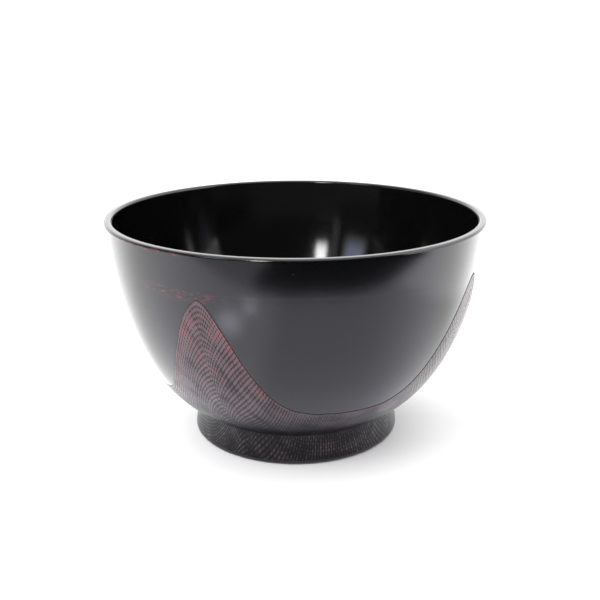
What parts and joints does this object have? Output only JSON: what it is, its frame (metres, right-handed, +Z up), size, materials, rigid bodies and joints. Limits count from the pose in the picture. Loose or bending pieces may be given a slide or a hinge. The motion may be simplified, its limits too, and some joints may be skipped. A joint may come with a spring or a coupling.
{
  "type": "lacquered rice bowl",
  "caption": "Round wooden rice bowl on a ring foot, with a square hemp cloth wrapped up its outside and black lacquer inside and out.",
  "frame": {"origin": "centre of the foot, on the plane that the bowl stands on", "axes": "+Z up along the bowl's axis; -Y towards the side that the picture shows, +X to its right"},
  "size_m": [0.12, 0.12, 0.072],
  "materials": {
    "turned_wood": "turned, sealed with lacquer",
    "lacquered_hemp_cloth": "open weave soaked in dark red lacquer, rubbed through to red on its high threads",
    "lacquered_rim_cloth": "filled smooth with black lacquer, satin",
    "satin_black_lacquer": "satin, fine grain",
    "gloss_black_lacquer": "high gloss",
    "recess_black_lacquer": "semi-gloss",
    "foot_black_lacquer": "satin"
  },
  "bodies": {
    "root": {"wood_core": "turned_wood", "wrap_cloth": "lacquered_hemp_cloth", "rim_cloth": "lacquered_rim_cloth", "outer_lacquer": "satin_black_lacquer", "inner_lacquer": "gloss_black_lacquer", "recess_lacquer": "recess_black_lacquer", "foot_edge": "foot_black_lacquer"}
  },
  "joints": []
}
